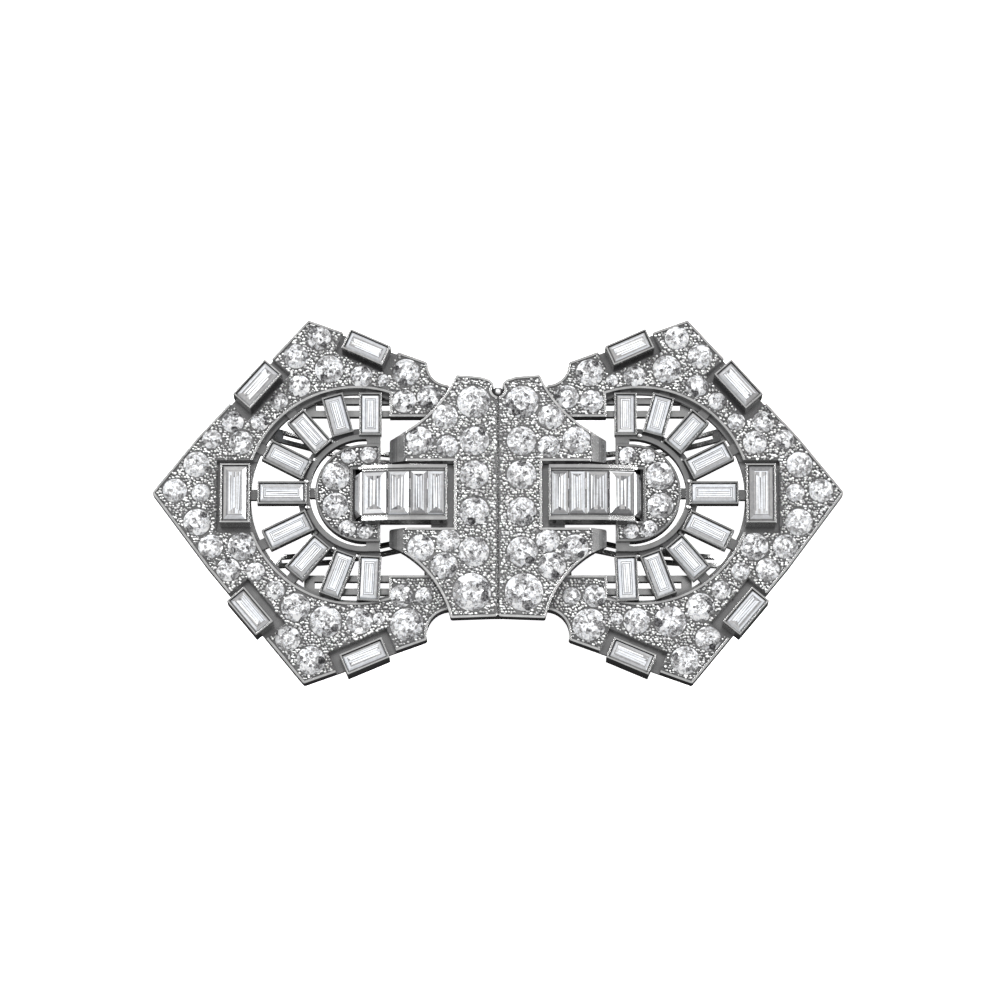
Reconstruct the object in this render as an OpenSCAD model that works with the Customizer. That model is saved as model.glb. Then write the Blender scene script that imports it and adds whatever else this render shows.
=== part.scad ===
// Double clip brooch: two mirrored dress clips held side by side on one brooch fitting.
// It lies on its back with its face up. Millimetres: X along the length, Y up the face, and
// heights count from the surface that it lies on. One clip is drawn from the seam outwards,
// on the +X side, and is mirrored for the other.

/* [Plates] */
// Height of the back of the outer plate
plate_z = 4.1; // [4.05:0.05:4.2]
// Thickness of the outer plate
plate_t = 1.5; // [1.4:0.05:1.6]
// Height of the back of the raised centre plate
centre_z = 5.3; // [5.2:0.05:5.4]
// Thickness of the centre plate
centre_t = 1.3; // [1.2:0.05:1.4]
// Width of the thin rim that runs along each edge
rim_w = 0.2; // [0.1:0.05:0.25]
// How far the field of stones is sunk inside its rim
rim_h = 0.12; // [0.05:0.01:0.15]
// Rounding of the plates' corners
corner_r = 0.2; // [0.1:0.05:0.3]

/* [Arch] */
// Radius of the round opening of each clip
arch_r = 9.5; // [9.4:0.05:9.6]
// Distance of its centre from the seam
arch_x = 12.3; // [12.2:0.05:12.4]
// Width of the ledge at the foot of the arch wall
ledge_w = 0.35; // [0.3:0.05:0.4]

/* [Horseshoe and fan] */
// Outer radius of the horseshoe
horseshoe_r = 4.3; // [4.25:0.05:4.4]
// Height of its back
horseshoe_z = 4.5; // [4.4:0.05:4.6]
// Thickness of the horseshoe
horseshoe_t = 1.4; // [1.3:0.05:1.5]
// Inner radius of the rail round the horseshoe
rail_r = 4.75; // [4.7:0.05:4.8]
// Width of the rail
rail_w = 0.45; // [0.4:0.05:0.5]
// Height of the top of the fan's stone boxes
fan_top = 6.0; // [5.9:0.05:6.1]

/* [Channel] */
// Width of the channel over its two rails
channel_w = 4.9; // [4.8:0.05:4.95]
// Length of the stones that lie across it
channel_stone_l = 3.84; // [3.7:0.02:3.86]
// Height of the girdles of its level stones
channel_girdle = 7.0; // [6.9:0.05:7.1]

/* [Stone boxes] */
// Height of the top of the boxes round the edge
edge_top = 6.9; // [6.7:0.05:7]
// Wall of a stone box
box_wall = 0.14; // [0.12:0.01:0.16]
// Clearance of a step-cut stone in its box
box_gap = 0.05; // [0.04:0.01:0.06]
// Clearance of a round stone in its seat
seat_gap = 0.03; // [0.02:0.01:0.04]

/* [Back fittings] */
// Half the length of the slotted rails
rails_x = 16.8; // [16:0.1:17]
// Thickness of the fitting's bars
bar_t = 0.8; // [0.7:0.05:0.85]
// Radius of the brooch pin
pin_r = 0.4; // [0.35:0.05:0.45]
// Height of the pin's axis
pin_z = 0.9; // [0.85:0.05:0.95]
// Angle of each fork tine to the length of the clip
tine_angle = 9.4; // [9:0.1:10]

/* [Hidden] */
$fn = 48;
eps = 0.02;
tall = 12;
metal = [0.74, 0.75, 0.77];
stone_colour = [0.9, 0.95, 1];

// The clips reach a little lower than they reach up, so all is lifted to centre the whole
lift_y = 0.49;

// Heights that follow from the plates
plate_top = plate_z + plate_t;
centre_top = centre_z + centre_t;
horseshoe_top = horseshoe_z + horseshoe_t;
recess_z = plate_z + 0.4;
solder = 0.1;

// Corners of the outer plate, from the point of the clip round to its two arms: x, y
outer_corners = [
    [30, 0.2], [26.1, 5.1], [16.55, 15.6], [6.25, 11.85], [4.2, 9.6], [3.6, 8.6], [4.6, 6],
    [4.6, -6], [3.6, -9], [4, -10], [6.2, -12.8], [16.7, -16.6], [25.1, -6.4]
];
// Inner edges of the two arms, and where the arms end at the arch
arm_y = 6.95;
low_arm_y = -7.1;
arm_x = 9.4;
// Thickness of the ledge in the arch
ledge_t = 0.6;
// Round bites out of the outer plate beside the seam: x, y, radius
outer_bites = [[4.3, 11.6, 1.8], [4.05, -12.2, 2.1]];

// Corners of the centre plate, with its slot for the channel and its two wings: x, y
centre_corners = [
    [0.06, -10.9], [0.06, 9.4], [0.75, 10.05], [1.6, 10.3], [3.6, 10.45], [9.4, 4.9], [9.4, 2.8],
    [3.8, 2.8], [3.8, -3.1], [9.4, -3.1], [9.4, -4.75], [4.15, -11.05]
];
// Large round bites that hollow the outer side of the wings: x, y, radius
centre_bites = [[13.4, 14.6, 10.6], [13, -13.05, 9.15]];
// Along the seam the field runs out to the edge with no rim
seam_field_x = 0.4;
seam_field_y = [-10.65, 8.3];
// The ends of the wings slope down between these, to this height
wing_slope_x = 7.95;
wing_end_x = 10;
wing_slope_z = 5.2;

// Round stones, by the part of the clip that they lie in: x, y, diameter
upper_arm = [[8, 10.9, 2.2], [8.15, 8.35, 1.85], [6, 8.75, 1.85], [9.95, 10.2, 0.95]];
upper_run = [
    [11.9, 10.55, 1.75], [14.7, 11.2, 2.25], [15.6, 14, 1.9], [17.6, 12.35, 1.95],
    [17.3, 9.7, 1.75], [19.05, 8.35, 1.4]
];
upper_shoulder = [[20.7, 6.5, 1.4], [23.05, 6.5, 1.75], [22.3, 4.65, 1.95], [24.85, 4.95, 1.55]];
tip = [[26.15, 2.7, 2.05], [28, 0.4, 1.9], [25.75, 0.2, 1.45], [26.05, -2.4, 2.15]];
lower_shoulder = [
    [24.85, -4.55, 1.95], [22.15, -4.55, 2.2], [23.3, -6.6, 1.85], [20.95, -6.75, 1.45]
];
lower_run = [
    [19.25, -8.4, 1.5], [17.45, -9.9, 2.25], [18.1, -12.65, 2], [14.85, -11.15, 2.5],
    [16.1, -14.55, 2.25], [11.95, -11.1, 2.1], [10.25, -10.9, 0.95]
];
lower_arm = [[7.85, -11.4, 2.6], [8.35, -8.9, 1.8], [6.35, -8.9, 1.4]];
centre_column = [
    [2.1, 8.05, 2.6], [2.05, 4.6, 2.3], [2.05, 1.6, 2.3], [2.05, -1.65, 2.3], [2.1, -5.2, 2.4],
    [2.25, -8.75, 3]
];
upper_wing = [[4.6, 6.75, 2], [6.8, 4.65, 2.2], [4.4, 4.1, 1.75]];
lower_wing = [[4.3, -4.2, 1.85], [6.65, -4.85, 2.1], [4.65, -6.45, 2.15]];
horseshoe_stones = [
    [11.25, 3.5, 1.3], [12.95, 3.4, 1.2], [14.05, 1.65, 2.25], [14.05, -1, 2.05],
    [13.05, -3.05, 1.35], [11.5, -3.25, 1.25]
];
outer_stones = concat(upper_arm, upper_run, upper_shoulder, tip, lower_shoulder, lower_run, lower_arm);
centre_stones = concat(centre_column, upper_wing, lower_wing);

// Boxes round the edge: x, y, direction that they face, length, width, gap inside, gap at the ends
edge_boxes = [
    [22.73, -0.1, 180, 5.2, 2.55, 0.4, 0.6],
    [20.88, 9.58, 41.5, 4.1, 2, 0.34, 0.66],
    [11.45, 12.88, 114, 3.85, 1.85, 0.3, 0.62],
    [21.33, -10.47, -40, 3.95, 1.9, 0.85, 0.6],
    [11.45, -14.4, -113, 3.9, 1.9, 0.8, 0.8]
];
// How far out the gap round such a box is cut
recess_out = 3;
// Boxes of the fan: x, y, lean of the long side, length, width
fan_boxes = [
    [11.08, 7.12, 90, 3.76, 1.94],
    [13.94, 7.04, 74.6, 3.6, 1.9],
    [16.37, 5.54, 48.8, 3.75, 1.9],
    [18.3, 3.06, 27, 3.95, 1.94],
    [18.71, 0.13, 0, 4.24, 2],
    [18.16, -3.17, -26, 4.15, 1.94],
    [16.4, -5.57, -49.5, 3.8, 1.94],
    [13.85, -7.07, -69.7, 4.05, 1.9],
    [11.12, -7.42, -87.5, 3.95, 1.94]
];
// Stones of the channel from the seam outwards: width, tilt
channel_stones = [[1.55, 0], [1.5, 0], [1.95, 4], [2.25, 10], [1.6, 68]];

// Round stones: table radius, crown height and depth, for a stone of radius 1
table_ratio = 0.58;
crown_ratio = 0.32;
depth_ratio = 0.84;
// Their seats: depth of the cup and radius of the hole behind it, for a stone of radius 1
cup_ratio = 0.4;
hole_ratio = 0.62;
// Step-cut stones from the keel up: height and inset of each step, for a stone of width 1
steps = [[-0.45, 0.48], [-0.22, 0.2], [-0.02, 0], [0.02, 0], [0.1, 0.07], [0.17, 0.16]];
// Their girdles lie this far below the top of a box, on a ledge this much lower and so wide
girdle_drop = 0.28;
ledge_drop = 0.25;
box_ledge = 0.15;

// Seat level of the round stones in each field
outer_girdle = plate_top - rim_h + 0.02;
centre_girdle = centre_top - rim_h + 0.02;
horseshoe_girdle = horseshoe_top - rim_h + 0.02;

// Centres of the horseshoe and of the rail round it
horseshoe_at = [11.55, 0.13];
rail_at = [11.57, 0.2];
// Where the arms of the horseshoe and the rail end
horseshoe_x = 10.2;
// Where its slot for the channel ends
horseshoe_slot_x = 12.6;
rail_x = 10.2;
rail_z = 4.6;
rail_t = 1.0;
rail_block = [1.2, 1.06, rail_t];
// Ledge on the rail that carries the inner ends of the fan boxes
rail_ledge_w = 0.62;
rail_ledge_t = 0.5;
fan_box_z = 4.9;
// Peg between rail and horseshoe
rail_peg = [0.87, 0.7];
// Lugs that hold the outer ends of the fan boxes: length, width, height
fan_lug = [1.15, 0.9, 0.6];
fan_lug_z = 4.4;

// The channel starts here, and its rails stand above the stones by channel_lip
channel_x = 4.4;
channel_z = 5.0;
channel_y = -0.1;
channel_end = 12.75;
channel_wall = 0.15;
channel_lip = 0.3;
channel_rail = 0.3;
channel_head = 0.5;
channel_toe = 0.4;
channel_step_up = 0.08;
channel_seat = 0.3;
channel_stone_gap = 0.04;
channel_back = 3.4;
// Length of the opening behind the last, steep stone
channel_end_seat = 0.8;

// Low foot that ties the channel to the centre plate, with an arm along each side of the channel
foot_x = [3.4, 4.5];
foot_arm_x = 5.8;
foot_y = [-3.25, 2.95];
foot_arm_w = 0.8;
foot_z = 4.6;
foot_t = 0.5;
foot_step = 0.2;
foot_hole_x = 4.9;
foot_hole_r = 0.17;
// Rectangular ring that stiffens the back of the centre plate: x and y from and to
gallery_x = [0.7, 3.5];
gallery_y = [-9.8, 8.8];
gallery_w = 0.6;

// Peg on the seam, and the round gap for it in both centre plates
peg_at = [0, 9.1];
peg_r = 0.42;
peg_top = 6.2;
peg_gap = 0.13;
// Collar that closes that gap from behind
collar_r = 0.58;
collar_top = 5.15;

// The fittings are laid out about this line
axis_y = 0.27;
rail_inner = 7.05;
rail_strip = 0.55;
rail_slot = 0.6;
rail_end = 0.9;
rails_w = 2 * rail_strip + rail_slot;
bars_z = 3.1;
cross_x = 4.6;
cross_w = 0.8;
seam_bar_x = 0.4;
seam_bar_y = [-10.5, 8.7];
spine_x = 12.4;
spine_w = 1.2;
block_x = 11.5;
block_l = 1.8;
block_w = 1.4;
pin_tip = 13;
pin_point = 2;
pin_point_r = 0.08;
notch_play = 0.1;

// Guides on the back of each clip that run along the slotted rails
guide_x = 5.6;
guide_l = 0.8;
guide_t = 0.4;
guide_leg = 0.2;
guide_play = 0.2;

// Hinge of the fork
hinge_x = 3;
hinge_z = 2.1;
barrel_r = 0.5;
barrel_half = 3.7;
journal_r = 0.3;
journal_end = 4.5;
lug_x = 1.2;
lug_y = [3.9, 4.6];
lug_drop = 0.6;
lug_play = 0.1;
tine_y = 2.93;
tine_w = 1.1;
tine_slot = [9, 19, 0.4];
// Side view of a tine from the hinge out: x, z
tine_profile = [
    [3, 1.7], [10.5, 0], [14.5, 0], [20.6, 2.9], [20.3, 3.4], [14.4, 0.75], [10.6, 0.75], [3, 2.5]
];

SIDES = ["left_", "right_"];
function numbered(name, count) = [for (i = [1 : count]) str(name, i)];
PIECES = concat(
    ["clip_frame", "clip_fork", "pave_stones"],
    numbered("edge_baguette_", len(edge_boxes)),
    numbered("fan_baguette_", len(fan_boxes)),
    numbered("bridge_baguette_", len(channel_stones))
);
NODES = concat(["brooch_fitting"], [for (s = SIDES) for (p = PIECES) str(s, p)]);
node = "all";

// Places a piece on its side of the seam, lifted to the middle
module on_side(s) {
    translate([0, lift_y, 0])
        if (s == "left_") mirror([1, 0, 0]) children();
        else children();
}

// Extrudes a flat shape from height z
module slab(z, t) {
    translate([0, 0, z]) linear_extrude(t) children();
}

// From and to along an axis, about a middle
function about(middle, length) = [middle - length / 2, middle + length / 2];

// Box between two corners given as [from, to] along each axis
module block(x, y, z) {
    translate([x[0], y[0], z[0]]) cube([x[1] - x[0], y[1] - y[0], z[1] - z[0]]);
}

// Extrudes an outline in the XZ plane over a width centred on y
module across(y, w) {
    translate([0, y + w / 2, 0]) rotate([90, 0, 0]) linear_extrude(w) children();
}

// Both sides of the fittings' axis
module both_sides() {
    translate([0, axis_y, 0]) {
        children();
        mirror([0, 1, 0]) children();
    }
}

// Round stone with its girdle at z = 0
module round_stone(d) {
    r = d / 2;
    table = [for (k = [0 : 7]) r * [table_ratio * cos(45 * k), table_ratio * sin(45 * k), crown_ratio]];
    girdle = [for (j = [0 : 15]) r * [cos(22.5 * j), sin(22.5 * j), 0]];
    function g(j) = 8 + (j + 16) % 16;
    crown = [
        for (k = [0 : 7])
        each [[k, g(2 * k), g(2 * k - 1)], [k, g(2 * k + 1), g(2 * k)], [k, (k + 1) % 8, g(2 * k + 1)]]
    ];
    pavilion = [for (j = [0 : 15]) [g(j), g(j + 1), 24]];
    polyhedron(
        points = concat(table, girdle, [[0, 0, -depth_ratio * r]]),
        faces = concat([[for (k = [7 : -1 : 0]) k]], crown, pavilion)
    );
}

// Step-cut stone with its girdle at z = 0 and its long side along X
module step_stone(l, w) {
    corners = [[-1, -1], [1, -1], [1, 1], [-1, 1]];
    points = [
        for (s = steps) for (c = corners)
        [c[0] * (l / 2 - s[1] * w), c[1] * (w / 2 - s[1] * w), s[0] * w]
    ];
    last = 4 * (len(steps) - 1);
    sides = [
        for (i = [0 : 4 : last - 4]) for (k = [0 : 3])
        [i + k, i + 4 + k, i + 4 + (k + 1) % 4, i + (k + 1) % 4]
    ];
    table = [last + 3, last + 2, last + 1, last];
    polyhedron(points = points, faces = concat([[0, 1, 2, 3]], sides, [table]));
}

// Seats cut for a table of round stones, open at the back
module seats(stones, girdle) {
    for (s = stones) {
        r = s[2] / 2 + seat_gap;
        translate([s[0], s[1], girdle - cup_ratio * r]) cylinder(r = r, h = 1);
        translate([s[0], s[1], 0]) cylinder(r = hole_ratio * r, h = girdle);
    }
}

// Plate with a thin rim round its sunk field
module rimmed_plate(z, t) {
    difference() {
        slab(z, t) children();
        slab(z + t - rim_h, 1) offset(delta = -rim_w) children();
    }
}

// Hole behind the stone of a box, all the way through
module box_hole(l, w) {
    shrink = 2 * (box_wall + box_ledge);
    block(about(0, l - shrink), about(0, w - shrink), [-tall, tall]);
}

// Stone box that is open at the back, from z = 0 to h
module stone_box(l, w, h) {
    shrink = 2 * box_wall;
    seat_z = h - girdle_drop - ledge_drop;
    difference() {
        block(about(0, l), about(0, w), [0, h]);
        block(about(0, l - shrink), about(0, w - shrink), [seat_z, tall]);
        box_hole(l, w);
    }
}

// Stone that fits a box of this outer size
module boxed_stone(l, w) {
    shrink = 2 * (box_wall + box_gap);
    step_stone(l - shrink, w - shrink);
}

module at_edge_box(b) {
    translate([b[0], b[1], 0]) rotate(b[2] + 90) children();
}

module at_fan_box(b) {
    translate([b[0], b[1], 0]) rotate(b[2]) children();
}

// Opening inside the arch and between the arms
module arch_opening() {
    intersection() {
        translate([arch_x, 0]) circle(arch_r, $fn = 120);
        translate([arm_x, -20]) square([30, 40]);
    }
    translate([0, low_arm_y]) square([arm_x + eps, arm_y - low_arm_y]);
}

module outer_shape() {
    difference() {
        offset(r = corner_r) offset(delta = -corner_r) polygon(outer_corners);
        for (b = outer_bites) translate([b[0], b[1]]) circle(b[2]);
        arch_opening();
    }
}

module centre_shape() {
    offset(r = corner_r) offset(delta = -corner_r) difference() {
        polygon(centre_corners);
        for (b = centre_bites) translate([b[0], b[1]]) circle(b[2], $fn = 120);
        translate(peg_at) circle(peg_r + peg_gap);
    }
}

module horseshoe_shape() {
    difference() {
        intersection() {
            union() {
                translate(horseshoe_at) circle(horseshoe_r, $fn = 96);
                translate([horseshoe_x, horseshoe_at[1] - horseshoe_r])
                    square([horseshoe_at[0] - horseshoe_x, 2 * horseshoe_r]);
            }
            translate([horseshoe_x, -10]) square([10, 20]);
        }
        translate([0, channel_y - channel_w / 2 + channel_wall])
            square([horseshoe_slot_x, channel_w - 2 * channel_wall]);
    }
}

// Ring about a centre, kept to the right of x
module part_ring(at, r, w, x) {
    intersection() {
        translate(at) difference() {
            circle(r + w, $fn = 96);
            circle(r, $fn = 96);
        }
        translate([x, -20]) square([40, 40]);
    }
}

// Gap round an edge box, cut down to the recess floor and open to the outside
module edge_recess(b) {
    at_edge_box(b)
        block([-b[3] / 2 - b[6], b[3] / 2 + b[6]], [-recess_out, b[4] / 2 + b[5]], [recess_z, tall]);
}

module outer_plate() {
    difference() {
        union() {
            rimmed_plate(plate_z, plate_t) outer_shape();
            slab(plate_z, ledge_t) part_ring([arch_x, 0], arch_r - ledge_w, ledge_w + eps, arm_x);
        }
        seats(outer_stones, outer_girdle);
        for (b = edge_boxes) {
            edge_recess(b);
            at_edge_box(b) box_hole(b[3], b[4]);
        }
    }
    for (b = edge_boxes)
        at_edge_box(b) translate([0, 0, recess_z - solder])
            stone_box(b[3], b[4], edge_top - recess_z + solder);
}

module centre_plate() {
    difference() {
        rimmed_plate(centre_z, centre_t) centre_shape();
        seats(centre_stones, centre_girdle);
        block([-1, seam_field_x], seam_field_y, [centre_top - rim_h, tall]);
        across(0, 2 * tall) polygon([
            [wing_slope_x, centre_top], [wing_end_x, wing_slope_z], [wing_end_x, tall], [wing_slope_x, tall]
        ]);
    }
    difference() {
        block(gallery_x, gallery_y, [plate_z, centre_z + solder]);
        block(gallery_x + [1, -1] * gallery_w, gallery_y + [1, -1] * gallery_w, [0, tall]);
    }
}

module horseshoe() {
    difference() {
        rimmed_plate(horseshoe_z, horseshoe_t) horseshoe_shape();
        seats(horseshoe_stones, horseshoe_girdle);
    }
}

// Rail round the horseshoe with its end blocks and peg
module fan_rail() {
    slab(rail_z, rail_t) part_ring(rail_at, rail_r, rail_w, rail_x);
    slab(rail_z, rail_ledge_t)
        part_ring(rail_at, rail_r + rail_w - eps, rail_ledge_w, rail_x);
    for (side = [-1, 1])
        translate([rail_x, rail_at[1] + side * (rail_r - solder) - rail_block[1] / 2, rail_z])
            cube(rail_block);
    block(
        [horseshoe_at[0] + horseshoe_r - solder, rail_at[0] + rail_r + solder],
        about(rail_at[1], rail_peg[0]),
        [rail_z + solder, rail_z + solder + rail_peg[1]]
    );
}

// Boxes of the fan, each with a lug to the foot of the arch wall
module fan_settings() {
    for (b = fan_boxes) at_fan_box(b) {
        translate([0, 0, fan_box_z]) stone_box(b[3], b[4], fan_top - fan_box_z);
        translate([b[3] / 2 - box_wall, -fan_lug[1] / 2, fan_lug_z]) cube(fan_lug);
    }
}

// Line of girdles along the channel, x and z: the step over stone i, and its point i
function channel_step(i) = channel_stones[i][0] * [cos(channel_stones[i][1]), -sin(channel_stones[i][1])];
function channel_point(i) =
    i == 0 ? [channel_x + channel_wall, channel_girdle] : channel_point(i - 1) + channel_step(i - 1);

// The line of girdles raised by dz, closed along height z
module channel_profile(dz, z) {
    count = len(channel_stones);
    line = [for (i = [0 : count]) channel_point(i) + [0, dz]];
    polygon(concat([[line[0][0], z]], line, [[line[count][0], z]]));
}

module channel() {
    sides = about(channel_y, channel_w);
    seat_w = channel_stone_l + 2 * box_gap;
    end = channel_point(len(channel_stones));
    difference() {
        union() {
            across(channel_y, channel_w) channel_profile(channel_lip, channel_z);
            block([channel_x, channel_x + channel_head], sides, [channel_z, channel_girdle + channel_lip]);
            block([end[0] - channel_rail, channel_end], sides, [horseshoe_z, horseshoe_z + channel_toe]);
        }
        across(channel_y, channel_w - 2 * channel_rail) channel_profile(channel_step_up, tall);
        across(channel_y, seat_w) channel_profile(-channel_seat, tall);
        block([channel_x + channel_wall, end[0]], about(channel_y, channel_back), [0, tall]);
        block([end[0] - channel_end_seat, end[0]], about(channel_y, seat_w), [0, tall]);
    }
}

// Foot under the seam end of the channel, with a small hole in each arm
module channel_foot() {
    arms = [[foot_y[0], foot_y[0] + foot_arm_w], [foot_y[1] - foot_arm_w, foot_y[1]]];
    block(foot_x, foot_y, [foot_z, foot_z + foot_t]);
    block([foot_x[0], gallery_x[1] + foot_step], foot_y, [foot_z, centre_z + solder]);
    for (y = arms) difference() {
        block([foot_x[0], foot_arm_x], y, [foot_z, foot_z + foot_t]);
        translate([foot_hole_x, (y[0] + y[1]) / 2, 0]) cylinder(r = foot_hole_r, h = tall);
    }
}

// Hook on the back of the clip that runs along one slotted rail
module guide() {
    outside = rail_inner + rails_w + guide_play;
    inside = rail_inner - guide_play;
    z = bars_z - guide_play;
    x = [guide_x, guide_x + guide_l];
    block(x, [outside, outside + guide_leg], [z - guide_t, plate_z + solder]);
    block(x, [inside - guide_leg, outside + guide_leg], [z - guide_t, z]);
    block(x, [inside - guide_leg, inside], [z - guide_t, z + guide_t]);
}

module fork_lug() {
    difference() {
        block(about(hinge_x, lug_x), lug_y, [hinge_z - lug_drop, plate_z + solder]);
        translate([hinge_x, 0, hinge_z]) rotate([-90, 0, 0]) cylinder(r = journal_r + lug_play, h = tall);
    }
}

module clip_frame() {
    color(metal) {
        outer_plate();
        centre_plate();
        horseshoe();
        fan_rail();
        fan_settings();
        channel();
        channel_foot();
        both_sides() {
            guide();
            fork_lug();
        }
    }
}

module clip_fork() {
    color(metal) both_sides() {
        translate([hinge_x, 0, hinge_z]) rotate([-90, 0, 0]) {
            translate([0, 0, -eps]) cylinder(r = barrel_r, h = barrel_half + eps);
            cylinder(r = journal_r, h = journal_end);
        }
        translate([hinge_x, tine_y, 0]) rotate(tine_angle) translate([-hinge_x, 0, 0]) difference() {
            across(0, tine_w) polygon(tine_profile);
            block([tine_slot[0], tine_slot[1]], about(0, tine_slot[2]), [-1, tall]);
        }
    }
}

// Bars, hinge block and catch are one with the pin, which ends free in the catch's notch
module brooch_fitting() {
    bars = [bars_z, bars_z + bar_t];
    color(metal) translate([0, lift_y, 0]) {
        both_sides() {
            difference() {
                block([-rails_x, rails_x], [rail_inner, rail_inner + rails_w], bars);
                block(
                    [-1, 1] * (rails_x - rail_end),
                    [rail_inner + rail_strip, rail_inner + rail_strip + rail_slot],
                    [0, tall]
                );
            }
            for (x = [cross_x, -cross_x - cross_w]) block([x, x + cross_w], [0, rail_inner + eps], bars);
        }
        translate([0, axis_y, 0]) {
            block([-spine_x, spine_x], about(0, spine_w), bars);
            block(about(-block_x, block_l), about(0, block_w), [0, bars_z + solder]);
            difference() {
                block(about(block_x, block_l), about(0, block_w), [0, bars_z + solder]);
                block([0, 20], [-2, pin_r + notch_play], about(pin_z, 2 * (pin_r + notch_play)));
            }
            translate([-block_x, 0, pin_z]) rotate([0, 90, 0])
                cylinder(r = pin_r, h = block_x + pin_tip - pin_point);
            translate([pin_tip - pin_point - eps, 0, pin_z]) rotate([0, 90, 0])
                cylinder(r1 = pin_r, r2 = pin_point_r, h = pin_point);
        }
        block([-seam_bar_x, seam_bar_x], seam_bar_y, bars);
        translate([peg_at[0], peg_at[1], bars_z]) cylinder(r = collar_r, h = collar_top - bars_z);
        translate([peg_at[0], peg_at[1], bars_z]) cylinder(r = peg_r, h = peg_top - bars_z - peg_r);
        translate([peg_at[0], peg_at[1], peg_top - peg_r]) sphere(peg_r);
    }
}

module pave_stones() {
    fields = [
        [outer_stones, outer_girdle], [centre_stones, centre_girdle], [horseshoe_stones, horseshoe_girdle]
    ];
    color(stone_colour) for (f = fields) for (s = f[0]) translate([s[0], s[1], f[1]]) round_stone(s[2]);
}

module edge_baguette(i) {
    b = edge_boxes[i - 1];
    color(stone_colour) at_edge_box(b) translate([0, 0, edge_top - girdle_drop]) boxed_stone(b[3], b[4]);
}

module fan_baguette(i) {
    b = fan_boxes[i - 1];
    color(stone_colour) at_fan_box(b) translate([0, 0, fan_top - girdle_drop]) boxed_stone(b[3], b[4]);
}

module bridge_baguette(i) {
    middle = (channel_point(i - 1) + channel_point(i)) / 2;
    color(stone_colour) translate([middle[0], channel_y, middle[1]])
        rotate([0, channel_stones[i - 1][1], 0]) rotate(90)
            step_stone(channel_stone_l, channel_stones[i - 1][0] - channel_stone_gap);
}

function shown(name) = node == "all" || node == name;

if (shown("brooch_fitting")) brooch_fitting();
for (s = SIDES) {
    if (shown(str(s, "clip_frame"))) on_side(s) clip_frame();
    if (shown(str(s, "clip_fork"))) on_side(s) clip_fork();
    if (shown(str(s, "pave_stones"))) on_side(s) pave_stones();
    for (i = [1 : len(edge_boxes)])
        if (shown(str(s, "edge_baguette_", i))) on_side(s) edge_baguette(i);
    for (i = [1 : len(fan_boxes)])
        if (shown(str(s, "fan_baguette_", i))) on_side(s) fan_baguette(i);
    for (i = [1 : len(channel_stones)])
        if (shown(str(s, "bridge_baguette_", i))) on_side(s) bridge_baguette(i);
}
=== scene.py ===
import math
import random

import bpy
from mathutils import Matrix, Vector


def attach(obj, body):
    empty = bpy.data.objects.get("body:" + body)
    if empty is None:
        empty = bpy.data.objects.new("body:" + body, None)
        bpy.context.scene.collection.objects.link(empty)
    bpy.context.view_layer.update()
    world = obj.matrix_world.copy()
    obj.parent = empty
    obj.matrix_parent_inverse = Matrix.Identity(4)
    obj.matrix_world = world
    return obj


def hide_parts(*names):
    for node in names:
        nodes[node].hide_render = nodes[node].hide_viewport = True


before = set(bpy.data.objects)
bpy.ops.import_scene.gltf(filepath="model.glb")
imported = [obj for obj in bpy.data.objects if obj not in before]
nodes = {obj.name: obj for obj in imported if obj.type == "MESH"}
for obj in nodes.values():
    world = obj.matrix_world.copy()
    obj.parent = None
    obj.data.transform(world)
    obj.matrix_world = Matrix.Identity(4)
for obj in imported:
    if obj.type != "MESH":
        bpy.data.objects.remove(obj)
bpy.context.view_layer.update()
mm = 0.001
sides = ("left", "right")
above = 9 * mm  # rays start here, over the whole piece
down = Vector((0, 0, -1))
print("frame loaded:", len(nodes), "nodes")


# Small helpers for the modelling operators

def deselectAll():
    if bpy.context.object and bpy.context.object.mode != "OBJECT":
        bpy.ops.object.mode_set(mode="OBJECT")
    bpy.ops.object.select_all(action="DESELECT")


def editMode():
    bpy.ops.object.mode_set(mode="EDIT")
    bpy.ops.mesh.select_mode(type="FACE")


def selectFaces(obj, test):
    # test gets a face's centre and normal
    bpy.ops.object.mode_set(mode="OBJECT")
    mesh = obj.data
    mesh.vertices.foreach_set("select", [False] * len(mesh.vertices))
    mesh.edges.foreach_set("select", [False] * len(mesh.edges))
    for face in mesh.polygons:
        face.select = test(face.center, face.normal)
    editMode()


flatRise = 0.99  # of the normal of a face that counts as level


def facesUp(centre, normal):
    return normal.z > flatRise


def cutAway(distance, tilt, turn):
    # grinds one flat facet: tilt is from straight up, turn is about the stone, both in degrees
    a, b = math.radians(tilt), math.radians(turn)
    normal = Vector((math.sin(a) * math.cos(b), math.sin(a) * math.sin(b), math.cos(a)))
    bpy.ops.mesh.select_all(action="SELECT")
    bpy.ops.mesh.bisect(plane_co=normal * distance, plane_no=normal, use_fill=True, clear_outer=True)


def facetThrough(radius, height, tilt, turn):
    # facet whose plane passes through a point of that radius and height
    a = math.radians(tilt)
    cutAway(math.sin(a) * radius + math.cos(a) * height, tilt, turn)


def joinAll(parts, name):
    deselectAll()
    for part in parts:
        part.select_set(True)
    bpy.context.view_layer.objects.active = parts[0]
    bpy.ops.object.join()
    joined = bpy.context.view_layer.objects.active
    joined.name = joined.data.name = name
    return joined


def copyAt(master, matrix):
    mesh = master.data.copy()
    mesh.transform(matrix)
    copy = bpy.data.objects.new("copy", mesh)
    bpy.context.scene.collection.objects.link(copy)
    return copy


def dropMaster(master):
    bpy.data.objects.remove(master, do_unlink=True)


# Shader maths: expressions on sockets add their own nodes

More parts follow.
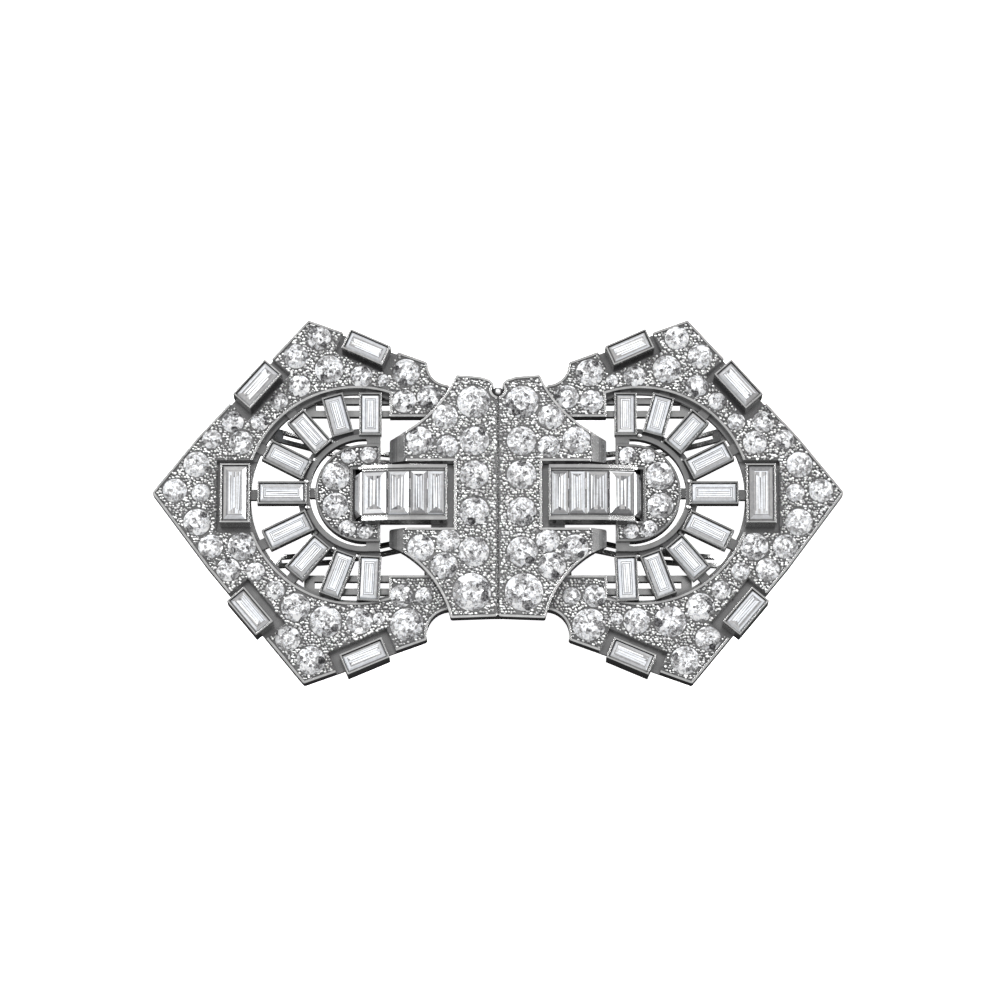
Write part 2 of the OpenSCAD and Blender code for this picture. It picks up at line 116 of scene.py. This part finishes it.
class Sock:
    def __init__(self, tree, socket):
        self.tree, self.socket = tree, socket

    def math(self, operation, other=None, flip=False, clamp=False):
        first, second = (other, self) if flip else (self, other)
        values = {0: first} if second is None else {0: first, 1: second}
        return self.tree.add("ShaderNodeMath", {"operation": operation, "use_clamp": clamp}, values)

    def __add__(self, other):
        return self.math("ADD", other)

    def __radd__(self, other):
        return self.math("ADD", other, True)

    def __sub__(self, other):
        return self.math("SUBTRACT", other)

    def __rsub__(self, other):
        return self.math("SUBTRACT", other, True)

    def __mul__(self, other):
        return self.math("MULTIPLY", other)

    def __rmul__(self, other):
        return self.math("MULTIPLY", other, True)

    def __truediv__(self, other):
        return self.math("DIVIDE", other)


class Tree:
    def __init__(self, nodeTree):
        self.nodeTree = nodeTree
        self.nodeTree.nodes.clear()

    def add(self, kind, settings=None, inputs=None, output=0):
        node = self.nodeTree.nodes.new(kind)
        for key, value in (settings or {}).items():
            if key == "stops":
                ramp = node.color_ramp
                while len(ramp.elements) < len(value):
                    ramp.elements.new(0.5)
                for element, (place, colour) in zip(ramp.elements, value):
                    element.position = place
                    element.color = (*colour, 1)
            else:
                setattr(node, key, value)
        for key, value in (inputs or {}).items():
            if isinstance(value, Sock):
                self.nodeTree.links.new(value.socket, node.inputs[key])
            else:
                node.inputs[key].default_value = value
        return Sock(self, node.outputs[output]) if len(node.outputs) else None

    def between(self, low, high, value):
        # colour between two colours by a value
        return self.add("ShaderNodeMix", {"data_type": "RGBA"}, {0: value, 6: (*low, 1), 7: (*high, 1)}, 2)

    def noise(self, place, scale, detail, roughness):
        inputs = {"Vector": place, "Scale": scale, "Detail": detail, "Roughness": roughness}
        return self.add("ShaderNodeTexNoise", None, inputs)


def newMaterial(name):
    material = bpy.data.materials.new(name)
    material.use_nodes = True
    return material, Tree(material.node_tree)


def finishMaterial(tree, settings):
    shader = tree.add("ShaderNodeBsdfPrincipled", None, settings)
    tree.add("ShaderNodeOutputMaterial", None, {"Surface": shader})


# Platinum

metalLook = {
    "bright": (0.66, 0.66, 0.655),
    "dull": (0.1, 0.1, 0.102),
    "roughness": 0.16,
    "roughnessRange": 0.12,
    "edgeRadius": 0.035 * mm,
    # painted shade in recesses: reach and power of the ambient occlusion that darkens the colour
    "paintedShadeReach": 0.6 * mm,
    "paintedShadePower": 1.5,
    "mottle": (900, 3.0, 0.6),  # number per metre, detail and roughness
    "mottleRange": (0.7, 0.6),  # least wear and how much more
    "scratch": (7000, 2.0, 0.7),
    "scratchStrength": (0.15, 0.6, 0.02 * mm),  # everywhere, more in the fields, and its depth
    "fieldLevels": (5.48 * mm, 5.78 * mm, 6.48 * mm),  # cut-down fields between the stones
    "fieldSlack": 0.03 * mm,
    "fieldShade": 0.75,
    "levels": [  # painted shade by height, in parts of the top level
        (0.0, 0.7), (0.5, 0.65), (0.56, 0.28), (0.66, 0.38), (0.698, 0.7), (0.745, 0.6), (0.748, 0.42),
        (0.755, 0.42), (0.76, 0.8), (0.82, 0.9), (0.855, 0.72), (0.87, 0.62), (1.0, 0.62),
    ],
    "topLevel": 8 * mm,
    # x, y, reach, top and tone of the painted shade on the darker lower part round the horseshoe
    "ring": (11.55 * mm, 0.65 * mm, 6.15 * mm, 5.93 * mm, 0.45),
    "shadePatches": [  # box in |x|, y and z, and its tone of painted shade: walls of the seam, then ends of the wings
        ((-1 * mm, 0.075 * mm), (-12 * mm, 12 * mm), (4 * mm, 6.3 * mm), 0.1),
        ((7.9 * mm, 9.5 * mm), (3 * mm, 5.6 * mm), (5 * mm, 6.55 * mm), 0.5),
        ((7.9 * mm, 9.5 * mm), (-4.6 * mm, -2.4 * mm), (5 * mm, 6.55 * mm), 0.5),
    ],
    "crest": 5.3 * mm,
    "crestRoughness": 0.0,  # added above the crest
}


def platinumMaterial(name, look, bright=1.0, toned=False):
    material, tree = newMaterial(name)
    place = tree.add("ShaderNodeTexCoord", output=3)
    level = tree.add("ShaderNodeSeparateXYZ", None, {"Vector": place}, 2)
    x = tree.add("ShaderNodeSeparateXYZ", None, {"Vector": place}, 0).math("ABSOLUTE")
    y = tree.add("ShaderNodeSeparateXYZ", None, {"Vector": place}, 1)
    mottle = tree.noise(place, *look["mottle"])
    fine = tree.noise(place, *look["scratch"])
    # painted shade: ambient occlusion darkens the colour in recesses and between parts
    shade = tree.add(
        "ShaderNodeAmbientOcclusion", {"samples": 4}, {"Distance": look["paintedShadeReach"]}, output=1
    )
    field = 0
    for height in look["fieldLevels"]:
        inField = tree.add(
            "ShaderNodeMath", {"operation": "COMPARE"}, {0: level, 1: height, 2: look["fieldSlack"]}
        )
        field = inField + field
    # painted shade by height: the grey ramp darkens the lower levels, most of all the recess floors
    stops = [(at, (grey, grey, grey)) for at, grey in look["levels"]]
    heightShade = tree.add("ShaderNodeValToRGB", {"stops": stops}, {0: level / look["topLevel"]})
    # painted shade on the lower part round the horseshoe
    ringX, ringY, reach, top, ringShade = look["ring"]
    away = ((x - ringX) * (x - ringX) + (y - ringY) * (y - ringY)).math("SQRT")
    inRing = away.math("LESS_THAN", reach) * level.math("LESS_THAN", top)
    least, more = look["mottleRange"]
    # random mottle of the metal, times the painted shades: in recesses, in the cut-down fields, by height,
    # round the horseshoe and in the patches
    wearAndShade = shade.math("POWER", look["paintedShadePower"]) * (least + mottle * more)
    wearAndShade = wearAndShade * (1 - field * look["fieldShade"]) * heightShade * (1 - inRing * (1 - ringShade))
    # painted shade in boxes: the walls of the seam and the sloping ends of the wings
    for *box, patchShade in look["shadePatches"]:
        within = 1
        for (low, high), value in zip(box, (x, y, level)):
            within = value.math("GREATER_THAN", low) * value.math("LESS_THAN", high) * within
        wearAndShade = wearAndShade * (1 - within * (1 - patchShade))
    if toned:
        wearAndShade = wearAndShade * tree.add("ShaderNodeAttribute", {"attribute_name": "tone"}, output=2)
    # bright paints the whole copy lighter
    colour = tree.between(look["dull"], look["bright"], wearAndShade.math("MULTIPLY", bright, clamp=True))
    edges = tree.add("ShaderNodeBevel", {"samples": 4}, {"Radius": look["edgeRadius"]})
    strength, inFields, depth = look["scratchStrength"]
    bump = tree.add(
        "ShaderNodeBump", None,
        {"Strength": strength + field * inFields, "Distance": depth, "Height": fine, "Normal": edges},
    )
    onCrest = level.math("GREATER_THAN", look["crest"])
    finishMaterial(tree, {
        "Base Color": colour,
        "Metallic": 1.0,
        "Roughness": look["roughness"] + mottle * look["roughnessRange"] + onCrest * look["crestRoughness"],
        "Normal": bump,
    })
    return material


# Diamond: each facet carries a tone, the share of light that comes back through it

diamondLook = {
    "stops": [
        (0.0, (0.01, 0.01, 0.011)), (0.25, (0.05, 0.05, 0.053)), (0.5, (0.145, 0.145, 0.148)),
        (0.65, (0.222, 0.22, 0.217)), (0.78, (0.3, 0.304, 0.312)), (0.9, (0.39, 0.405, 0.428)),
        (1.0, (0.52, 0.52, 0.52)),
    ],
    "roughness": 0.03,
    "metallic": 0.12,
    "ior": 1.8,
    "glints": ((4200.0, 0.5), (9500.0, 0.42)),  # small reflections inside a facet: number per metre and depth
}


def diamondMaterial(name, look):
    material, tree = newMaterial(name)
    tone = tree.add("ShaderNodeAttribute", {"attribute_name": "tone"}, output=2)
    place = tree.add("ShaderNodeTexCoord", output=3)
    mixed = tone
    for scale, depth in look["glints"]:
        cells = tree.add("ShaderNodeTexVoronoi", None, {"Vector": place, "Scale": scale}, 1)
        glint = tree.add("ShaderNodeSeparateColor", None, {0: cells})
        mixed = mixed + (glint - 0.5) * depth
    mixed = mixed.math("MAXIMUM", 0.0, clamp=True)
    colour = tree.add("ShaderNodeValToRGB", {"stops": look["stops"]}, {0: mixed})
    finishMaterial(tree, {
        "Base Color": colour,
        "Metallic": look["metallic"],
        "Roughness": look["roughness"],
        "IOR": look["ior"],
    })
    return material


platinum = platinumMaterial("platinum", metalLook)
noRing = (0, 0, 0, 0, 1)
grainLevels = [(0.0, 1.0), (1.0, 1.0)]
grainLook = dict(metalLook, roughness=0.26, fieldLevels=(), levels=grainLevels, ring=noRing, shadePatches=[])
# a copy of the platinum painted 1.1 times lighter, without the painted shade in the fields, by height, round
# the horseshoe or in patches
brightMetal = platinumMaterial("bright platinum", grainLook, bright=1.1, toned=True)
# painted shade on the back fittings, which lie under the piece: darker below about 5 mm
backShadeLevels = [(0.0, 0.45), (0.62, 0.4), (0.7, 1.0), (1.0, 1.0)]
# painted shade under the seam
shadeUnderSeam = [((-1 * mm, 0.2 * mm), (-11 * mm, 8.6 * mm), (3 * mm, 5 * mm), 0.05)]
backLook = dict(metalLook, levels=backShadeLevels, ring=noRing, shadePatches=shadeUnderSeam, crestRoughness=0.35)
# a copy of the platinum painted 1.2 times lighter, so the peg on top reads light
backMetal = platinumMaterial("back platinum", backLook, bright=1.2)
diamond = diamondMaterial("diamond", diamondLook)
stepLook = dict(diamondLook, glints=((4200.0, 0.06), (9500.0, 0.06)))
stepDiamond = diamondMaterial("step-cut diamond", stepLook)
print("materials made")


# Round stones: a brilliant is ground from a drum, facet by facet, then copied to each seat

brilliantCut = {
    "crownAngle": 34.5, "halfAngle": 41.0, "starAngle": 20.0, "crownHeight": 0.33,
    "tableReach": 0.53, "girdle": 0.05, "pavilionAngle": 40.5, "lowerHalf": 42.0, "culet": 0.79,
    "halfReach": 0.995, "halfTurn": 11.25, "starInset": 0.2,
    "drumSides": 32, "drumHeight": 2, "eighth": 45,
}


def brilliantMaster(cut):
    deselectAll()
    bpy.ops.mesh.primitive_cylinder_add(vertices=cut["drumSides"], radius=1, depth=cut["drumHeight"])
    stone = bpy.context.object
    editMode()
    for k in range(8):
        turn = cut["eighth"] * k
        facetThrough(1.0, 0.0, cut["crownAngle"], turn)
        facetThrough(1.0, -cut["girdle"], 180 - cut["pavilionAngle"], turn)
        for half in (-cut["halfTurn"], cut["halfTurn"]):
            facetThrough(cut["halfReach"], 0.0, cut["halfAngle"], turn + half)
            facetThrough(cut["halfReach"], -cut["girdle"], 180 - cut["lowerHalf"], turn + half)
    cutAway(cut["crownHeight"], 0, 0)
    for k in range(8):
        facetThrough(cut["tableReach"], cut["crownHeight"], cut["starAngle"], cut["eighth"] * (k + 0.5))
    cutAway(cut["culet"], 180, 0)
    # light returned through the table shows as a star of smaller flats
    selectFaces(stone, facesUp)
    bpy.ops.mesh.inset(thickness=cut["starInset"])
    bpy.ops.mesh.poke()
    deselectAll()
    return stone


def looseStones(node):
    # centre, radius and level of the girdle of each stone in a node of many
    mesh = nodes[node].data
    owner = list(range(len(mesh.vertices)))
    byPlace = {}
    perMetre = 2e6  # vertices closer than half a micrometre are one

    def root(i):
        while owner[i] != i:
            owner[i] = owner[owner[i]]
            i = owner[i]
        return i

    for v in mesh.vertices:
        key = tuple(round(c * perMetre) for c in v.co)
        byPlace.setdefault(key, v.index)
        owner[root(v.index)] = root(byPlace[key])
    for edge in mesh.edges:
        owner[root(edge.vertices[0])] = root(edge.vertices[1])
    groups = {}
    for v in mesh.vertices:
        groups.setdefault(root(v.index), []).append(v.co)
    stones = []
    for points in groups.values():
        low = [min(p[i] for p in points) for i in range(3)]
        high = [max(p[i] for p in points) for i in range(3)]
        radius = (high[0] - low[0]) / 2
        x, y = (low[0] + high[0]) / 2, (low[1] + high[1]) / 2
        girdle = max(points, key=lambda p: math.hypot(p.x - x, p.y - y)).z
        stones.append((x, y, girdle, radius))
    return sorted(stones, key=lambda s: (round(s[1], 5), round(abs(s[0]), 5)))


def paintTones(mesh, rng, weights, same=None):
    # gives each facet its tone, by weights (share, low, high) or the same for all
    layer = mesh.attributes.new("tone", "FLOAT", "FACE")
    if same is not None:
        layer.data.foreach_set("value", [same] * len(mesh.polygons))
        return
    tones = []
    for face in mesh.polygons:
        pick, total = rng.random(), 0
        for share, low, high in weights:
            total += share
            if pick <= total:
                break
        tones.append(rng.uniform(low, high))
    layer.data.foreach_set("value", tones)


grainShape = {
    "segments": 8, "rings": 6, "foot": -0.3,  # of a grain of radius 1
    "radius": 0.13 * mm, "sizes": (0.65, 1.35), "sink": 0.03 * mm,
    "pitch": 0.26 * mm, "rowStep": 0.87, "jitter": 0.08 * mm, "margin": 2 * mm,
    "overlap": 0.05 * mm,  # how far a grain leans over a girdle
    "seam": 0.2 * mm,  # nearest centre to the seam
    "slack": 0.02 * mm,  # between a field's level and the metal under a grain
    "tones": (0.15, 0.95),
}


def grainMaster(shape):
    deselectAll()
    bpy.ops.mesh.primitive_uv_sphere_add(segments=shape["segments"], ring_count=shape["rings"], radius=1)
    grain = bpy.context.object
    editMode()
    bpy.ops.mesh.select_all(action="SELECT")
    bpy.ops.mesh.bisect(plane_co=(0, 0, shape["foot"]), plane_no=down, use_fill=True, clear_outer=True)
    deselectAll()
    for face in grain.data.polygons:
        face.use_smooth = face.normal.z > -flatRise
    return grain


def grainPlaces(stones, plate, shape, rng):
    # grains fill the cut-down fields wherever the stones leave room
    low = [min(s[i] for s in stones) - shape["margin"] for i in (0, 1)]
    high = [max(s[i] for s in stones) + shape["margin"] for i in (0, 1)]
    pitch, rowPitch = shape["pitch"], shape["pitch"] * shape["rowStep"]
    columns = int((high[0] - low[0]) / pitch)
    rows = int((high[1] - low[1]) / rowPitch)
    edge = shape["radius"] - shape["overlap"]
    places = []
    for row in range(rows):
        for column in range(columns):
            x = low[0] + pitch * (column + row % 2 / 2) + rng.uniform(-1, 1) * shape["jitter"]
            y = low[1] + rowPitch * row + rng.uniform(-1, 1) * shape["jitter"]
            if abs(x) < shape["seam"] or any(math.hypot(x - s[0], y - s[1]) < s[3] + edge for s in stones):
                continue
            levels = []
            for dx, dy in ((0, 0), (edge, 0), (-edge, 0), (0, edge), (0, -edge)):
                hit, where, normal, face = plate.ray_cast(Vector((x + dx, y + dy, above)), down)
                levels.append(where.z if hit else 0)
            if any(max(abs(z - h) for z in levels) < shape["slack"] for h in metalLook["fieldLevels"]):
                places.append((x, y, levels[0]))
    return places


def grownStones(stones, most, gap):
    # stones in a pave field nearly touch: each grows towards its nearest neighbour
    grown = []
    for x, y, z, r in stones:
        room = min(math.hypot(x - s[0], y - s[1]) - s[3] - r for s in stones if (s[0], s[1]) != (x, y))
        grown.append((x, y, z, r + max(0, min(most * r, (room - gap) / 2))))
    return grown


pave = {
    "seed": 31, "grow": 0.1, "gap": 0.02 * mm, "tilt": 0.04,
    "tones": [(0.12, 0.2, 0.45), (0.5, 0.5, 0.8), (0.38, 0.8, 1.0)],  # share, lowest and highest tone
    "tip": 25 * mm, "tipTones": [(0.06, 0.3, 0.5), (0.44, 0.6, 0.85), (0.5, 0.85, 1.0)],  # past this |x|
}
brilliant = brilliantMaster(brilliantCut)
grain = grainMaster(grainShape)
for side in sides:
    node = side + "_pave_stones"
    stones = grownStones(looseStones(node), pave["grow"], pave["gap"])
    rng = random.Random(len(side) * pave["seed"])
    parts = []
    for x, y, z, r in stones:
        turn = Matrix.Rotation(rng.uniform(0, math.pi / 4), 4, "Z")
        lean = Matrix.Rotation(rng.uniform(-pave["tilt"], pave["tilt"]), 4, "X")
        part = copyAt(brilliant, Matrix.Translation((x, y, z)) @ turn @ lean @ Matrix.Scale(r, 4))
        paintTones(part.data, rng, pave["tipTones" if abs(x) > pave["tip"] else "tones"])
        parts.append(part)
    field = joinAll(parts, side + "_round_diamonds")
    field.data.materials.clear()
    field.data.materials.append(diamond)
    places = grainPlaces(stones, nodes[side + "_clip_frame"], grainShape, rng)
    beads = []
    for x, y, z in places:
        size = grainShape["radius"] * rng.uniform(*grainShape["sizes"])
        bead = copyAt(grain, Matrix.Translation((x, y, z - grainShape["sink"])) @ Matrix.Scale(size, 4))
        paintTones(bead.data, rng, None, rng.uniform(*grainShape["tones"]))
        beads.append(bead)
    grains = joinAll(beads, side + "_grains")
    grains.data.materials.clear()
    grains.data.materials.append(brightMetal)
    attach(field, "root")
    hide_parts(node)
    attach(grains, "root")
    print(side, "round stones:", len(stones), "grains:", len(places))
dropMaster(brilliant)


# Step-cut stones: each is ground from a block to the size of its node

stepCut = {
    "crown": [(48, 0.0, 0.0), (30, 0.09, 0.085)],  # tilt, inset and height of each step, in widths
    "pavilion": [(58, 0.0, -0.04), (46, 0.2, -0.3)],
    "girdle": 0.02, "table": 0.17, "keel": 0.45,  # heights
    "bandLean": 0.03, "endLean": 0.6,  # slope of the cuts
    "endShare": 0.8,
    "bigLength": 4.4 * mm,
    "leastRise": 0.2,  # of the normal of a table, the last stone of the channel being steep
    "crownRise": 0.1,  # least rise of a facet of the crown
    "block": 2,  # height of the block that a stone is ground from, in widths
    "seed": 77,
}
# What shows through each kind of stone. Rings run round the table from the outside in: width, lowest and
# highest tone. Strips lie along the table, in half widths. Ends is how far the slanted facets reach in.
# Sides are cuts along the crown. The rest are the lowest and highest tones.
stepStyles = {
    "edge": {
        "rings": [(0.03, 0.3, 0.65)],
        "strips": [-0.7, -0.58, -0.25, -0.12, 0.3, 0.42, 0.75],
        "ends": 0.16, "sides": [0.35, 0.45],
        "crown": (0.55, 0.95), "light": (0.86, 1.0), "shade": (0.4, 0.7), "end": (0.35, 0.9),
    },
    "big": {
        "rings": [(0.03, 0.3, 0.6), (0.03, 0.6, 0.9)],
        "strips": [-0.8, -0.6, -0.4, -0.28, 0.05, 0.2, 0.5, 0.62, 0.8],
        "ends": 0.24, "sides": [0.35, 0.45],
        "crown": (0.4, 0.85), "light": (0.74, 0.96), "shade": (0.4, 0.66), "end": (0.4, 0.95),
    },
    "fan": {
        "rings": [(0.035, 0.1, 0.4), (0.05, 0.8, 1.0), (0.035, 0.25, 0.5), (0.04, 0.75, 0.95)],
        "strips": [-0.45, -0.15, 0.3, 0.6],
        "ends": 0, "sides": [],
        "crown": (0.68, 1.0), "light": (0.88, 1.0), "shade": (0.4, 0.65),
    },
    "bridge": {
        "rings": [],
        "strips": [-0.8, -0.6, -0.4, -0.15, 0.1, 0.3, 0.55, 0.8],
        "ends": 0.2, "sides": [0.34, 0.38, 0.45],
        "crown": (0.35, 1.0), "light": (0.78, 1.0), "shade": (0.35, 0.66), "end": (0.2, 0.7),
    },
}


def stoneFrame(node):
    # turns and place of a step-cut stone, with its length and width, from its CAD solid
    mesh = nodes[node].data
    best, area = None, 0
    for face in mesh.polygons:
        if face.normal.z > stepCut["leastRise"] and face.area > area:
            best, area = face, face.area
    # the table is two triangles, and the sides of each are its width, length and diagonal
    points = [mesh.vertices[i].co for i in best.vertices]
    lengths = sorted(((a - b).length, (a - b)) for k, a in enumerate(points) for b in points[k + 1:])
    along = lengths[1][1].normalized()
    up = best.normal.normalized()
    across = up.cross(along).normalized()
    along = across.cross(up)
    spans = []
    for axis in (along, across, up):
        values = [v.co.dot(axis) for v in mesh.vertices]
        spans.append((min(values), max(values)))
    length, width = spans[0][1] - spans[0][0], spans[1][1] - spans[1][0]
    girdle = spans[2][1] - stepCut["table"] * width
    centre = along * (sum(spans[0]) / 2) + across * (sum(spans[1]) / 2) + up * girdle
    turn = Matrix((along, across, up)).transposed().to_4x4()
    return Matrix.Translation(centre) @ turn, length, width


def stepStone(name, length, width, cut, style, rng):
    deselectAll()
    bpy.ops.mesh.primitive_cube_add(size=1)
    stone = bpy.context.object
    stone.scale = (length / width, 1, cut["block"])
    bpy.ops.object.transform_apply(scale=True)
    halves = ((length / width / 2, 0), (0.5, 90), (length / width / 2, 180), (0.5, 270))
    editMode()
    for reach, turn in halves:
        for tilt, inset, height in cut["crown"]:
            facetThrough(reach - inset, cut["girdle"] + height, tilt, turn)
        for tilt, inset, height in cut["pavilion"]:
            facetThrough(reach - inset, -cut["girdle"] + height, 180 - tilt, turn)
    cutAway(cut["table"], 0, 0)
    cutAway(cut["keel"], 180, 0)
    selectFaces(stone, facesUp)
    halfLength, halfWidth = tableReach(stone.data)
    for ring, low, high in style["rings"]:
        bpy.ops.mesh.inset(thickness=ring)
        halfLength, halfWidth = halfLength - ring, halfWidth - ring
    bandLean, endLean = cut["bandLean"], cut["endLean"]
    cuts = [(0, place * halfWidth, rng.uniform(-bandLean, bandLean), 1) for place in style["strips"]]
    if style["ends"]:
        atEnd = halfLength - style["ends"]
        cuts += [(s * atEnd, 0, s, lean) for s in (-1, 1) for lean in (-endLean, endLean)]
    for y in [k * reach for reach in style["sides"] for k in (-1, 1)]:
        selectFaces(stone, alongCrown)
        bpy.ops.mesh.bisect(plane_co=(0, y, 0), plane_no=(0, 1, 0))
    for x, y, normalX, normalY in cuts:
        selectFaces(stone, lambda centre, normal: (
            facesUp(centre, normal) and inside(centre, halfLength, halfWidth)
        ))
        bpy.ops.mesh.bisect(plane_co=(x, y, 0), plane_no=(normalX, normalY, 0))
    deselectAll()
    stone.name = stone.data.name = name
    paintSteps(stone.data, rng, style, halfLength, halfWidth)
    return stone


def alongCrown(centre, normal):
    # facets of the crown that run the length of the stone
    return stepCut["crownRise"] < normal.z < flatRise and abs(normal.x) < stepCut["crownRise"]


def inside(centre, halfLength, halfWidth):
    return abs(centre.x) < halfLength and abs(centre.y) < halfWidth


def tableReach(mesh):
    corners = [mesh.vertices[i].co for f in mesh.polygons if facesUp(f.center, f.normal) for i in f.vertices]
    return max(c.x for c in corners), max(c.y for c in corners)


def paintSteps(mesh, rng, style, halfLength, halfWidth):
    # bands along the table are light and shaded by turns
    layer = mesh.attributes.new("tone", "FLOAT", "FACE")
    bands = {}
    values = []
    for face in mesh.polygons:
        centre = face.center
        if not facesUp(centre, face.normal):
            values.append(rng.uniform(*style["crown"]))
        elif not inside(centre, halfLength, halfWidth):
            values.append(rng.uniform(*ringTones(centre, halfLength, halfWidth, style["rings"])))
        elif style["ends"] and abs(centre.x) > halfLength - style["ends"] * stepCut["endShare"]:
            values.append(rng.uniform(*style["end"]))
        else:
            band = sum(centre.y > place * halfWidth for place in style["strips"])
            if band not in bands:
                bands[band] = rng.uniform(*style["shade" if band % 2 else "light"])
            values.append(bands[band])
    layer.data.foreach_set("value", values)


def ringTones(centre, halfLength, halfWidth, rings):
    # lowest and highest tone of the ring that a face lies in, from the inside out
    for ring, low, high in reversed(rings):
        halfLength, halfWidth = halfLength + ring, halfWidth + ring
        if inside(centre, halfLength, halfWidth):
            break
    return low, high


counts = {"edge": 5, "fan": 9, "bridge": 5}
for side in sides:
    rng = random.Random(len(side) * stepCut["seed"])
    for kind, count in counts.items():
        for index in range(1, count + 1):
            node = f"{side}_{kind}_baguette_{index}"
            place, length, width = stoneFrame(node)
            style = stepStyles["big" if length > stepCut["bigLength"] else kind]
            stone = stepStone(node + "_cut", length, width, stepCut, style, rng)
            stone.data.transform(place @ Matrix.Scale(width, 4))
            stone.data.materials.append(stepDiamond)
            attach(stone, "root")
            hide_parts(node)
print("step-cut stones made")

# Small lumps of solder where neighbouring fan boxes meet the rail
solder = {"size": 0.27 * mm, "flat": 0.6, "back": 0.3 * mm, "tone": 0.7}
for side in sides:
    corners = []
    for index in range(1, counts["fan"] + 1):
        place, length, width = stoneFrame(f"{side}_fan_baguette_{index}")
        along, across, centre = place.col[0].xyz, place.col[1].xyz, place.col[3].xyz
        inner = centre - along * (length / 2 + solder["back"]) * (1 if along.x * centre.x > 0 else -1)
        corners.append([inner + across * (width / 2) * k for k in (-1, 1)])
    lumps = []
    for first, second in zip(corners, corners[1:]):
        a, b = min(((a, b) for a in first for b in second), key=lambda ends: (ends[0] - ends[1]).length)
        at = (a + b) / 2
        hit, where, normal, face = nodes[side + "_clip_frame"].ray_cast(Vector((at.x, at.y, above)), down)
        shape = Matrix.Diagonal((solder["size"], solder["size"], solder["size"] * solder["flat"], 1))
        lump = copyAt(grain, Matrix.Translation(where) @ shape)
        paintTones(lump.data, None, None, solder["tone"])
        lumps.append(lump)
    joined = joinAll(lumps, side + "_solder_lumps")
    joined.data.materials.clear()
    joined.data.materials.append(brightMetal)
    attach(joined, "root")
dropMaster(grain)
print("solder lumps made")

for name, obj in nodes.items():
    if "baguette" in name:
        look = stepDiamond
    elif "pave" in name:
        look = diamond
    else:
        look = platinum if "frame" in name else backMetal
    obj.data.materials.clear()
    obj.data.materials.append(look)


# Floor, light and camera

studio = {
    "floorTone": 0.9, "floorRoughness": 0.6, "floorGlow": 1.0, "floorSize": 3.0, "floorDrop": 0.01 * mm,
    "lights": [  # name, place, size and power
        ("key", (-0.45, 0.35, 0.55), 0.4, 13),
        ("fill", (0.5, 0.1, 0.5), 0.3, 7),
    ],
    "sky": [  # tones from straight down to straight up
        (0.0, (0.03, 0.03, 0.03)), (0.28, (0.15, 0.15, 0.15)), (0.5, (0.21, 0.21, 0.21)),
        (0.72, (0.34, 0.34, 0.345)), (1.0, (0.85, 0.85, 0.85)),
    ],
    "waves": (4.0, 1.0, 0.5), "waveDepth": 0.5,  # unevenness of the studio's walls
}

deselectAll()
bpy.ops.mesh.primitive_plane_add(size=studio["floorSize"], location=(0, 0, -studio["floorDrop"]))
floor = bpy.context.object
floor.name = "floor"
floor.visible_glossy = False  # the dark lower half of the studio shows in the metal instead
floorMaterial, floorTree = newMaterial("floor white")
finishMaterial(floorTree, {
    "Base Color": (studio["floorTone"],) * 3 + (1,), "Roughness": studio["floorRoughness"],
    "Emission Color": (1, 1, 1, 1), "Emission Strength": studio["floorGlow"],  # a light table
})
floor.data.materials.append(floorMaterial)

for name, at, size, power in studio["lights"]:
    deselectAll()
    bpy.ops.object.light_add(type="AREA", location=at)
    lamp = bpy.context.object
    lamp.name = name
    lamp.data.size = size
    lamp.data.energy = power
    lamp.rotation_euler = (-Vector(at)).to_track_quat("-Z", "Y").to_euler()

world = bpy.data.worlds.new("studio")
bpy.context.scene.world = world
world.use_nodes = True
worldTree = Tree(world.node_tree)
way = worldTree.add("ShaderNodeTexCoord", output=0)
height = worldTree.add("ShaderNodeSeparateXYZ", None, {"Vector": way}, 2)
waves = worldTree.noise(way, *studio["waves"])
level = height * 0.5 + 0.5 + (waves - 0.5) * studio["waveDepth"]
tone = worldTree.add("ShaderNodeValToRGB", {"stops": studio["sky"]}, {0: level})
background = worldTree.add("ShaderNodeBackground", None, {"Color": tone, "Strength": 1.0})
worldTree.add("ShaderNodeOutputWorld", None, {"Surface": background})

cameraSet = {
    "target": (0.174 * mm, 0.03 * mm, 5.6 * mm), "distance": 0.45, "elevation": 78, "fieldWidth": 86.6 * mm,
    "sensor": 36, "clipStart": 0.01,
}
deselectAll()
bpy.ops.object.camera_add()
camera = bpy.context.object
rise = math.radians(cameraSet["elevation"])
target = Vector(cameraSet["target"])
camera.location = target + cameraSet["distance"] * Vector((0, -math.cos(rise), math.sin(rise)))
camera.rotation_euler = (target - camera.location).to_track_quat("-Z", "Y").to_euler()
camera.data.sensor_width = cameraSet["sensor"]
camera.data.lens = cameraSet["sensor"] * cameraSet["distance"] / cameraSet["fieldWidth"]
camera.data.clip_start = cameraSet["clipStart"]
scene = bpy.context.scene
scene.camera = camera
scene.view_settings.view_transform = "Standard"
scene.cycles.use_denoising = True
print("studio set")
